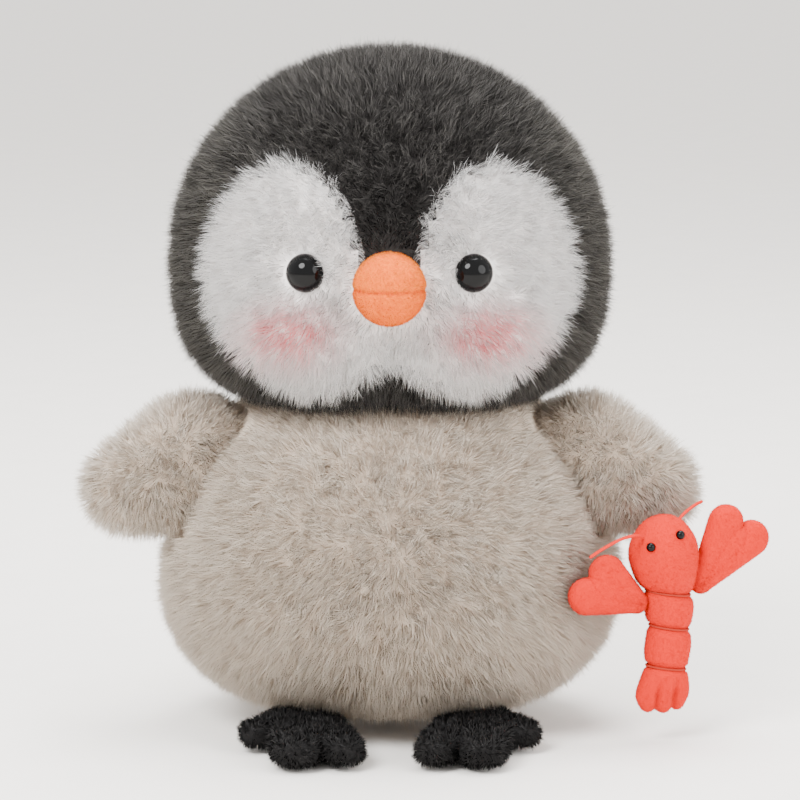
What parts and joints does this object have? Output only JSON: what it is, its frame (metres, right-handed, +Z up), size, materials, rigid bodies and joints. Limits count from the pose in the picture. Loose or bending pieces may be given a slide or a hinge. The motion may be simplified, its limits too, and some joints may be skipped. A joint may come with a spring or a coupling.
{
  "type": "plush penguin",
  "caption": "Sitting plush penguin with a big round head, white cheeks, flapping wings and a small plush lobster hung from its left wing.",
  "frame": {"origin": "centre of the flat base, on the floor", "axes": "+Z up, the toy faces -Y, its own left side with the lobster is +X"},
  "size_m": [0.2723, 0.171, 0.271],
  "materials": {
    "bead_plastic": "gloss",
    "beak_velour": "velour",
    "body_plush": "long pile",
    "dark_plush": "long pile",
    "eye_plastic": "gloss",
    "fibre_fill": "soft",
    "foot_plush": "short pile",
    "lobster_velour": "velour",
    "pellet_bag": "matte",
    "thread": "thread",
    "washer_plastic": "matte",
    "white_plush": "soft pile"
  },
  "bodies": {
    "torso": {"back_left_panel": "body_plush", "back_right_panel": "body_plush", "base_panel": "body_plush", "beak_lower_panel": "beak_velour", "beak_stuffing": "fibre_fill", "beak_upper_panel": "beak_velour", "belly_left_panel": "body_plush", "belly_right_panel": "body_plush", "body_stuffing": "fibre_fill", "chin_panel": "dark_plush", "crown_panel": "dark_plush", "head_left_panel": "dark_plush", "head_right_panel": "dark_plush", "head_stuffing": "fibre_fill", "left_cheek_panel": "white_plush", "left_eye": "eye_plastic", "left_eye_washer": "washer_plastic", "left_foot_sole": "foot_plush", "left_foot_stuffing": "fibre_fill", "left_foot_upper": "foot_plush", "pellet_bag": "pellet_bag", "right_cheek_panel": "white_plush", "right_eye": "eye_plastic", "right_eye_washer": "washer_plastic", "right_foot_sole": "foot_plush", "right_foot_stuffing": "fibre_fill", "right_foot_upper": "foot_plush"},
    "left_wing": {"left_wing_back_panel": "body_plush", "left_wing_front_panel": "body_plush", "left_wing_stuffing": "fibre_fill", "lobster_tie_thread": "thread"},
    "right_wing": {"right_wing_back_panel": "body_plush", "right_wing_front_panel": "body_plush", "right_wing_stuffing": "fibre_fill"},
    "lobster": {"lobster_back_panel": "lobster_velour", "lobster_front_panel": "lobster_velour", "lobster_inner_eye": "bead_plastic", "lobster_inner_feeler": "lobster_velour", "lobster_outer_eye": "bead_plastic", "lobster_outer_feeler": "lobster_velour", "lobster_segment_threads": "thread", "lobster_stuffing": "fibre_fill"},
    "inner_claw": {"inner_claw_back_panel": "lobster_velour", "inner_claw_front_panel": "lobster_velour", "inner_claw_stuffing": "fibre_fill"},
    "outer_claw": {"outer_claw_back_panel": "lobster_velour", "outer_claw_front_panel": "lobster_velour", "outer_claw_stuffing": "fibre_fill"}
  },
  "joints": [
    {"name": "left_wing_flap", "type": "hinge", "parent": "torso", "child": "left_wing", "pos_m": [0.076, -0.012, 0.107], "axis": [0, -1, 0], "range_deg": [0, 40], "stiffness_Nm_per_rad": 0.4},
    {"name": "right_wing_flap", "type": "hinge", "parent": "torso", "child": "right_wing", "pos_m": [-0.076, -0.012, 0.107], "axis": [0, 1, 0], "range_deg": [-5, 40], "stiffness_Nm_per_rad": 0.4},
    {"name": "lobster_swing", "type": "hinge", "parent": "left_wing", "child": "lobster", "pos_m": [0.107, -0.0354, 0.0875], "axis": [0, -1, 0], "range_deg": [0, 30]},
    {"name": "inner_claw_flex", "type": "hinge", "parent": "lobster", "child": "inner_claw", "pos_m": [0.0913, -0.0461, 0.057], "axis": [-0.3419, 0.9397, 0], "range_deg": [-10, 7], "stiffness_Nm_per_rad": 0.02},
    {"name": "outer_claw_flex", "type": "hinge", "parent": "lobster", "child": "outer_claw", "pos_m": [0.1265, -0.0333, 0.063], "axis": [0.3419, -0.9397, 0], "range_deg": [-10, 7], "stiffness_Nm_per_rad": 0.02}
  ]
}
